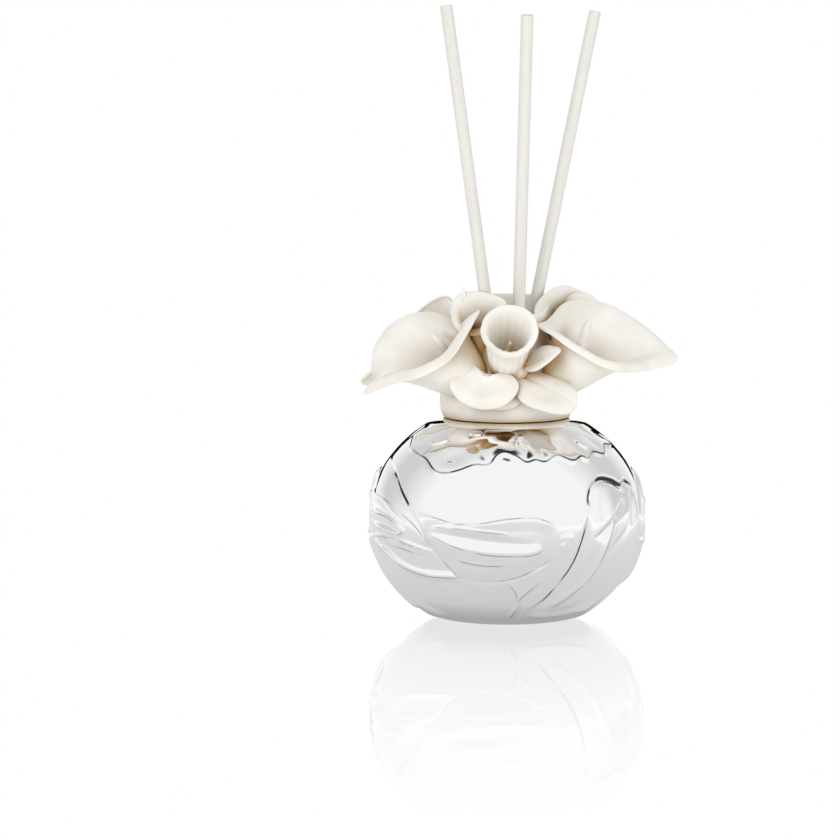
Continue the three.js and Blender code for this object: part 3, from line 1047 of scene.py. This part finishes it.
@dataclass
class Bouquet:
    """Every flower on the stopper: six lilies, and a narcissus at the front and the back."""

    finish: Finish = BisquePorcelain()
    # Copies of the bisque with a shorter or longer occlusion reach, for lighter or darker painted shade.
    less_shade_finish: Finish = BisquePorcelain("bisque_less_painted_shade", reach_mm=7.0)
    less_shade_parts: tuple[str, ...] = ("trumpet", "pistil", "spadix", "rear_left_spathe", "petal_")
    more_shade_finish: Finish = BisquePorcelain("bisque_more_painted_shade", reach_mm=30.0)
    more_shade_parts: tuple[str, ...] = ("upper_left_spathe", "rear_right_spathe")

    LILIES = {
        "calla_left": (
            Horn(
                (
                    (-9.4, -19, 102.7), (-14, -24, 95), (-18.3, -27, 88.6), (-23.6, -27, 84.7),
                    (-30.2, -24, 81.3),
                    (-35.8, -19.5, 79.9), (-40.5, -15.5, 78), (-46.6, -12.5, 75.3), (-43.2, -11.5, 79.2),
                    (-44.2, -7, 83), (-43.8, -4, 87), (-42.4, -2, 91), (-39, 0, 95.6), (-34.8, 1.5, 98.3),
                    (-30, 2, 100), (-23.6, 2, 100.2), (-19, -1, 98.6), (-14.5, -8, 97.5),
                ),
                (-10.4, -13, 77), (-0.52, -0.42, 0.74), (-0.57, -0.49, 0.66), 3.0, 5.0, 8.5,
                low_roll=3.4, lean=0.6, depth=3.0,
            ),
            Spadix((-15.5, -12.5, 84.5), (-0.62, -0.35, 0.7), 15, 1.3),
        ),
        "calla_right": (
            Horn(
                (
                    (9.6, -18.5, 97.9), (14.7, -23, 95.0), (19.3, -26, 91.8), (24.6, -28, 88.8),
                    (29.2, -28, 86.1), (35.1, -26, 84.0), (42.4, -21, 83.6), (49, -15, 84.2),
                    (55.3, -10, 86.2), (51.3, -6, 90.8),
                    (45, -2, 96.2), (38.1, 2, 100.7), (31.2, 4, 103.5), (24.3, 3, 104.4), (18.3, -1, 103.0),
                    (13.2, -9, 98.5),
                ),
                (14, -11, 77.5), (0.66, -0.42, 0.62), (0.33, -0.46, 0.82), 2.6, 4.4, 7.0,
                low_roll=3.4, spread=1.8, lean=0.4, depth=5.0,
            ),
            Spadix((22, -11.5, 83.5), (0.25, -0.3, 0.92), 18, 1.9),
        ),
        "calla_upper_left": (
            Horn(
                (
                    (-1.0, -15, 104.6), (-3.4, -13.5, 106.6), (-8.4, -10, 107.8), (-14.4, -6.5, 107.4),
                    (-17.2, -6, 105), (-18.2, -8, 101.5), (-17.3, -12, 97.5), (-14, -16, 95),
                    (-8, -18.5, 95.5), (-3, -18.5, 98.5),
                ),
                (-9, -10.5, 82), (-0.1, 0.1, 0.99), (-0.25, -0.75, 0.6), 1.6, 2.8, 3.6, low_roll=0.4,
            ),
            Spadix((-12, -7.5, 92), (-0.14, -0.02, 1), 18, 1.0),
        ),
        "calla_rear_left": (
            Horn(
                (
                    (-17.2, 2.5, 100.5), (-17.8, 4, 104.2), (-20.6, 5.5, 105.6), (-25.6, 7, 103.1),
                    (-30.2, 8, 99),
                    (-38, 10, 90), (-43.6, 11, 81.2), (-48, 12, 76.8), (-44, 14, 76.2), (-41, 19, 81),
                    (-35, 27, 85), (-26, 31, 90), (-18, 29, 95), (-13, 23, 99.5), (-13.5, 12, 101),
                ),
                (-13, 10, 75.5), (-0.6, 0.45, 0.66), (-0.5, 0.5, 0.7), 1.6, 3.4, 3.2,
            ),
            Spadix((-20, 14, 83), (-0.3, 0.3, 0.9), 14, 1.5),
        ),
        "calla_rear_right": (
            Horn(
                (
                    (9.2, -9, 100.5), (10.4, -4, 104.4), (14.4, 0, 107.6), (18, 4, 108.8), (21.5, 8, 108.2),
                    (26, 12, 106), (30.5, 15, 102.8), (36, 18, 96), (33, 10, 93), (27, 4.5, 92),
                    (20, 0.5, 92), (13, -5.5, 93),
                ),
                (17, 8, 78), (0.1, 0.1, 0.99), (-0.4, -0.65, 0.65), 2.4, 2.8, 8.5,
            ),
            Spadix((20.5, 7.5, 86), (0.05, 0.0, 1), 14, 1.2),
        ),
        "calla_back_right": (
            Horn(
                (
                    (8.5, 25, 97), (12, 31, 92), (17, 35, 87.5), (23, 36.5, 84), (30, 35, 82),
                    (38, 31, 82), (47, 24, 84), (43, 22, 86.5), (38, 21.5, 88), (32, 22, 89),
                    (25, 22, 91), (18, 21.5, 94), (12, 21.5, 96),
                ),
                (11, 15, 75.5), (0.45, 0.65, 0.6), (0.25, 0.55, 0.8), 3.0, low_roll=1.6, spread=1.6,
            ),
            Spadix((16.5, 22, 80), (0.2, 0.2, 0.95), 12, 1.4),
        ),
    }
    CALYXES = {
        "calla_rear_right_fold": Petal(
            (23.6, 2.0, 95.2), (0.12, 0.2, 0.97), (-0.1, -0.95, 0.25), 12.3, 12.5, -1.0, 0.4, 0.4,
        ),
        "calyx_front_right": Petal(
            (4.6, -18.6, 79), (0.05, -0.3, 0.95), (0.5, -0.86, 0.1), 8, 7, -2.0, 0.2, 0.4,
        ),
        "calyx_back": Petal((-1.0, 18.5, 78.5), (0.0, 0.2, 0.98), (0.0, 0.98, 0.1), 12.5, 14, -3.0, 0.2, 0.4),
    }
    PETALS = {
        "petal_front_left": Petal(
            (-6.2, -19.3, 84.2), (-0.28, -0.58, -0.76), (-0.05, -0.78, 0.62), 14.5, 21.5, 1.8, 1.4, 2.6,
            lobes=((-92, -0.55, 22), (-145, 0.14, 30), (-35, 0.18, 36)),
        ),
        "petal_front_right": Petal(
            (2.6, -17.8, 80.8), (0.8, -0.5, -0.33), (0.0, -0.62, 0.78), 22.5, 16, 1.0, 1.4, 2.2,
            lobes=((-100, -0.12, 20), (150, 0.08, 30)), crease=(-0.2, 1.3),
        ),
        "petal_front_upper": Petal(
            (5.4, -19.4, 84.2), (0.78, -0.4, 0.5), (-0.32, -0.6, 0.76), 12.5, 9.5, 0.9, 0.6, 0.6,
            lobes=((90, 0.28, 22),), crease=(0.1, 0.7),
        ),
        "petal_front_low": Petal((-2.5, -20.8, 79.5), (0, -0.4, -0.9), (0, -0.9, 0.4), 8.8, 14, -1.0, 0, 0.6),
        "petal_back_left": Petal(
            (-7, 17, 81), (-0.45, 0.75, -0.45), (-0.1, 0.5, 0.85), 16, 17, 1.0, 1.6, 2.4
        ),
        "petal_back_right": Petal(
            (5, 17.5, 80.6), (0.3, 0.8, -0.5), (0.05, 0.5, 0.85), 15, 17, 1.0, 1.4, 2.2, crease=(0.2, 1.0)
        ),
        "petal_back_upper_left": Petal(
            (-8, 17, 86), (-0.7, 0.55, 0.42), (0.2, 0.8, 0.55), 11.5, 9, 1.8, 0.9, 0.8
        ),
        "petal_back_upper_right": Petal(
            (6.5, 18, 86), (0.6, 0.62, 0.35), (-0.2, 0.8, 0.55), 10, 9, 1.8, 0.9, 0.8
        ),
    }

    def trumpet(
        self, centre: Point, facing: Point, radius: float, wave: float, root: Point, rising: Point
    ) -> Horn:
        """Makes a narcissus's trumpet from a waved rim, round above and drawn in below.

        Args:
            centre: The middle of the rim.
            facing: The way that the trumpet faces.
            radius: The rim's radius.
            wave: How far the rim wanders along facing.
            root: Where the tube starts.
            rising: The way that it starts.

        Returns:
            The trumpet as a horn.
        """
        z = unit(facing)
        x = (Vector((1, 0, 0)) - z * z.x).normalized()
        y = z.cross(x)
        rim = []
        for i in range(24):
            angle = math.tau * i / 24
            drawn_in = 1 - 0.22 * max(0.0, -math.sin(angle)) ** 1.5
            p = Vector(centre) + (x * math.cos(angle) * drawn_in + y * math.sin(angle)) * radius
            rim.append((p + z * wave * math.sin(3 * angle))[:])
        return Horn(
            tuple(rim), root, rising, facing, 0.9, 4.0, 2.8, flutes=16, flute_depth=0.2, curl=0.4,
            low_roll=2.2, lean=0.7, thickness=1.2,
        )

    def place(self, name: str, form: "Spadix | Horn | Petal", stands_for: bool = True) -> None:
        """Shapes a clay piece, gives it its wall and puts it on the stopper.

        Args:
            name: The piece's name, which is also the CAD node's that it stands for.
            form: What the piece is.
            stands_for: Whether there is such a node.
        """
        finish = self.finish
        # Some pieces take a copy with lighter or darker painted shade.
        if any(part in name for part in self.less_shade_parts):
            finish = self.less_shade_finish
        elif any(part in name for part in self.more_shade_parts):
            finish = self.more_shade_finish
        piece = finished(f"{name}_clay", form.shape(), finish)
        if not isinstance(form, Spadix):
            thickened(piece, form.thickness, form.thinnest, 1)
        belongs(piece, "stopper", "bisque_porcelain", *([name] if stands_for else []))

    def build(self) -> None:
        """Forms every flower."""
        front = self.trumpet(
            (0.2, -28, 96.6), (0, -0.91, 0.41), 8.8, 0.5, (-0.5, -14.8, 81.5), (0, -0.3, 0.95)
        )
        back = self.trumpet((-1.5, 28, 93.5), (-0.05, 0.86, 0.5), 8.4, 0.6, (-0.8, 16.6, 85), (0, 0.8, 0.6))
        pistils = {
            "front": Spadix((0.6, -18.2, 90.0), (0, -0.85, 0.5), 5.5, 0.9),
            "back": Spadix((-0.9, 19, 87.6), (-0.05, 0.82, 0.56), 5.5, 0.9),
        }
        for side, horn in (("front", front), ("back", back)):
            self.place(f"narcissus_{side}_trumpet", horn)
            self.place(f"narcissus_{side}_pistil", pistils[side])
        for name, calyx in self.CALYXES.items():
            self.place(name, calyx, stands_for=False)
        for name, (spathe, spadix) in self.LILIES.items():
            self.place(f"{name}_spathe", spathe)
            self.place(f"{name}_spadix", spadix)
        for name, petal in self.PETALS.items():
            self.place(name, petal)


# ------------------------------------------------------------------ reeds
@dataclass
class Reeds:
    """The three fibre reeds, each along its own joint's line and cut a little short on top."""

    CUT = {"reed_left": 1.6, "reed_centre": 4.8, "reed_right": 1.3}

    diameter: float = 4.0
    length: float = 200.0
    rounding: float = 0.25
    sides: int = 40
    finish: Finish = BondedFibre()

    def build(self, joints: Sequence[dict]) -> None:
        """Extrudes each reed from a circle and rounds its ends.

        Args:
            joints: The frame's joints, whose axes the reeds lie along.
        """
        for joint in joints:
            name = joint["child"]
            if not name.startswith("reed"):
                continue
            low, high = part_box(name)
            rod = bmesh.new()
            bmesh.ops.create_circle(rod, cap_ends=True, segments=self.sides, radius=self.diameter / 2)
            grown = bmesh.ops.extrude_face_region(rod, geom=rod.faces[:])["geom"]
            top = [v for v in grown if isinstance(v, bmesh.types.BMVert)]
            bmesh.ops.translate(rod, vec=(0, 0, self.length - self.CUT[name]), verts=top)
            ends = [e for e in rod.edges if abs(e.verts[0].co.z - e.verts[1].co.z) < 1e-4]
            bmesh.ops.bevel(
                rod, geom=ends, offset=self.rounding, offset_type="OFFSET", affect="EDGES", segments=2,
                profile=0.5, material=-1,
            )
            bmesh.ops.translate(rod, vec=(0, 0, -self.length / 2), verts=rod.verts)
            grain = rod.verts.layers.float_vector.new(BondedFibre.grain)
            for vert in rod.verts:
                vert[grain] = vert.co * MM + Vector((low.x, low.y, 0))
            lean = turned_to(joint["axis"], (low + high) / 2 / MM)
            bmesh.ops.transform(rod, matrix=lean, verts=rod.verts)
            piece = finished(f"{name}_rod", rod, self.finish)
            belongs(piece, name, "fibre", name)


# ------------------------------------------------------------------ studio
@dataclass
class Studio:
    """The floor, lights, black flags and camera."""

    elevation: float = 6.3
    distance: float = 1.10
    aim: Point = (-28.5, 0.0, 65.1)
    width: float = 277.2
    floor_size: float = 8.0
    flag_distance: float = 9.0
    flag_ring: Spot = (15.0, 25.0)
    flag_arc: float = 98.0
    flag_steps: int = 30
    eye_height: float = 0.07
    ambient: float = 0.62
    walls: str = "CFD1D4"

    def card(self, name: str, material: bpy.types.Material, drop: float) -> bpy.types.Object:
        """Lays a flat card just under the pot.

        Args:
            name: The card's name.
            material: Its material.
            drop: How far under the pot it lies, in metres.

        Returns:
            The card.
        """
        sheet = bmesh.new()
        bmesh.ops.create_grid(sheet, x_segments=1, y_segments=1, size=self.floor_size / 2)
        bmesh.ops.translate(sheet, vec=(0, 0, -drop), verts=sheet.verts)
        made = in_scene(name, sheet, material)
        return made

    def build(self) -> None:
        """Sets up the whole studio."""
        self.sky()
        self.floors()
        self.flags()
        self.lamps()
        self.camera()

    def sky(self) -> None:
        """Makes the white surround."""
        scene = bpy.context.scene
        scene.view_settings.view_transform = "Standard"
        world = bpy.data.worlds.new("studio")
        scene.world = world
        world.use_nodes = True
        world.node_tree.nodes.clear()
        tree = world.node_tree
        # The surround is pure white to the eye. In a mirror its sides are a little grey and the
        # roof straight above is dark, and it lights the matte clay more gently than it looks.
        rays = add(tree, "ShaderNodeLightPath").outputs
        generated = add(tree, "ShaderNodeTexCoord").outputs["Generated"]
        heading = add(tree, "ShaderNodeSeparateXYZ", links={0: generated}).outputs
        backwards = ranged(tree, heading["Y"], (-1.0, 1.0), (0.0, 1.0))
        tones = [(0.40, "F7F7F8"), (0.97, "FFFFFF"), (0.68, self.walls), (0.80, self.walls)]
        walls = ramp(tree, backwards, tones)
        roof = ranged(tree, heading["Z"], (0.965, 0.985), (1.0, 0.05), "SMOOTHSTEP")
        mirrored = times(tree, walls, roof)
        seen = add(tree, "ShaderNodeMix", {"A": 1.0}, {0: rays["Is Glossy Ray"], "B": mirrored}).outputs[0]
        diffuse = {0: rays["Is Diffuse Ray"], "A": seen}
        level = add(tree, "ShaderNodeMix", {"B": self.ambient}, diffuse).outputs[0]
        sky = add(tree, "ShaderNodeBackground", {"Color": linear("FFFFFF")}, {"Strength": level})
        add(tree, "ShaderNodeOutputWorld", links={"Surface": sky.outputs[0]})

    def floors(self) -> None:
        """Lays the white sweep that the camera sees and the floor, with its painted shadow, that the pot
        reflects.
        """
        sweep = self.card("sweep", new_material("white_acrylic", self.acrylic), 0.0006)
        sweep.visible_diffuse = sweep.visible_glossy = sweep.visible_shadow = False
        floor = self.card("floor", new_material("floor_painted_shadow", self.floor_painted_shadow), 0.0008)
        floor.visible_camera = False

    def acrylic(self, tree: Tree) -> Socket:
        """Makes white acrylic, whose faint mirror image of the pot fades with distance."""
        length = add(tree, "ShaderNodeVectorMath", {"operation": "LENGTH"}, {0: own_place(tree)})
        fade = ranged(tree, length.outputs["Value"], (0.03, 0.29), (0.36, 0.0))
        light = add(tree, "ShaderNodeEmission", {"Color": linear("FFFFFF"), "Strength": 1.0})
        mirror = add(tree, "ShaderNodeBsdfGlossy", {"Color": linear("FFFFFF"), "Roughness": 0.03})
        links = {0: fade, 1: light.outputs[0], 2: mirror.outputs[0]}
        return add(tree, "ShaderNodeMixShader", links=links).outputs[0]

    def floor_painted_shadow(self, tree: Tree) -> Socket:
        """Makes the floor's light side, with a painted shadow: pale grey near the pot and white far off."""
        length = add(tree, "ShaderNodeVectorMath", {"operation": "LENGTH"}, {0: own_place(tree)})
        tone = ramp(
            tree, ranged(tree, length.outputs["Value"], (0.0, 1.0), (0.0, 1.0)),
            [
                (0.028, "A8A8AA"), (0.9, "FFFFFF"), (0.036, "CECED0"), (0.06, "D6D6D7"), (0.12, "DDDDDE"),
                (0.25, "E6E6E6"), (0.5, "F7F7F7"),
            ],
        )
        # It throws white light up at the clay, though the silver shows it with its painted shadow, a soft
        # grey.
        diffuse = add(tree, "ShaderNodeLightPath").outputs["Is Diffuse Ray"]
        seen = add(tree, "ShaderNodeMix", {"data_type": "RGBA", 7: linear("FAF8F4")}, {0: diffuse, 6: tone})
        return add(tree, "ShaderNodeEmission", {"Strength": 1.0}, {"Color": seen.outputs[2]}).outputs[0]

    def black(self, tree: Tree) -> Socket:
        """Makes the flags' even black."""
        return add(tree, "ShaderNodeEmission", {"Color": linear("050505"), "Strength": 1.0}).outputs[0]

    def flags(self) -> None:
        """Stands black flags behind, just outside the view, for the dark lines along a mirror's edges."""
        cloth = new_material("black_flag", self.black)
        middle = (0, self.flag_distance, self.eye_height)
        inner, outer = (self.flag_distance * math.tan(math.radians(a)) for a in self.flag_ring)
        for side, name in ((-1, "flag_left"), (1, "flag_right")):
            ring = bmesh.new()
            ends = [ring.verts.new((side * r, *middle[1:])) for r in (inner, outer)]
            bmesh.ops.spin(
                ring, geom=[*ends, ring.edges.new(ends)], cent=middle, axis=(0, 1, 0),
                angle=-side * math.radians(self.flag_arc), steps=self.flag_steps,
            )
            flag = in_scene(name, ring, cloth)
            flag.visible_camera = flag.visible_diffuse = flag.visible_shadow = False

    def lamps(self) -> None:
        """Hangs soft lamps above the front and to the left."""
        for name, place, size, power in (
            ("key", (-0.5, -1.2, 0.75), 0.8, 5.0),
            ("fill", (0.7, -1.1, 0.35), 0.8, 3.0),
        ):
            data = bpy.data.lights.new(name, "AREA")
            data.energy, data.size = power, size
            lamp = bpy.data.objects.new(name, data)
            lamp.location = place
            towards = Vector((0, 0, self.eye_height)) - Vector(place)
            lamp.rotation_euler = towards.to_track_quat("-Z", "Y").to_euler()
            lamp.visible_glossy = False
            bpy.context.scene.collection.objects.link(lamp)

    def camera(self) -> None:
        """Sets the long-lens camera a little above the pot's middle."""
        data = bpy.data.cameras.new("camera")
        data.sensor_width = 36.0
        data.lens = data.sensor_width * self.distance / (self.width * MM)
        lens = bpy.data.objects.new("camera", data)
        tilt = math.radians(self.elevation)
        back = Vector((0, -math.cos(tilt), math.sin(tilt)))
        lens.location = Vector(self.aim) * MM + back * self.distance
        lens.rotation_mode = "QUATERNION"
        lens.rotation_quaternion = (-back).to_track_quat("-Z", "Y")
        data.clip_start, data.clip_end = 0.01, 50
        bpy.context.scene.collection.objects.link(lens)
        bpy.context.scene.camera = lens


def main() -> None:
    """Builds the diffuser and its studio."""
    logging.basicConfig(level=logging.INFO, format="%(message)s")
    # The clay's wander comes from vector noise, which would otherwise be seeded from the clock.
    noise.seed_set(WANDER_SEED)
    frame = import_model()
    Studio().build()
    Pot().build()
    Stopper().build()
    Bouquet().build()
    Reeds().build(frame["joints"])


if __name__ == "__main__":
    main()
